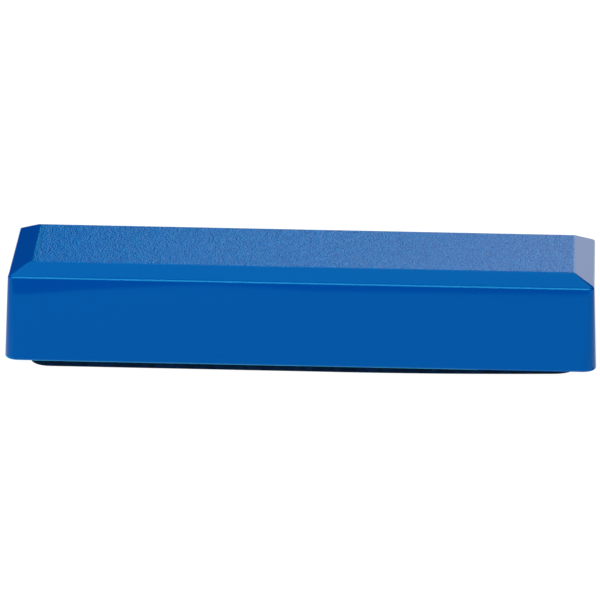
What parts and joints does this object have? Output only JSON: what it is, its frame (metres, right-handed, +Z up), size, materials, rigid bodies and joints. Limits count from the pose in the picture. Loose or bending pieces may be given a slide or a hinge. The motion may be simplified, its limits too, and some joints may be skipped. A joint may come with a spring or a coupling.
{
  "type": "magnetic glass cleaner",
  "caption": "Hand-held outer half of a magnetic glass cleaner: a long blue plastic case with a bevelled, grained top, magnets sealed inside and a thin dark felt pad underneath.",
  "frame": {"origin": "under the middle of the pad, on the surface that the cleaner rests on or is pressed against", "axes": "+X along the long side, +Y from front to back, +Z up through the case, away from the glass"},
  "size_m": [0.15, 0.044, 0.0275],
  "materials": {
    "blue_plastic": "satin",
    "felt": "matte",
    "loop_fabric": "matte",
    "hook_tape": "matte",
    "dark_plastic": "satin",
    "seal_rubber": "matte",
    "screw_steel": "satin",
    "ferrite": "matte",
    "yoke_steel": "satin",
    "foam": "matte"
  },
  "bodies": {
    "pad": {"felt_pad": "felt", "pad_backing": "loop_fabric"},
    "case": {"case_shell": "blue_plastic", "base_plate": "dark_plastic", "base_seal": "seal_rubber", "base_screws": "screw_steel", "hook_strip": "hook_tape", "magnet_left": "ferrite", "magnet_middle": "ferrite", "magnet_right": "ferrite", "yoke_plate": "yoke_steel", "foam_strip": "foam"}
  },
  "joints": [
    {"name": "case_lift", "type": "slide", "parent": "pad", "child": "case", "axis": [0, 0, 1], "range_m": [0, 0.03]}
  ]
}
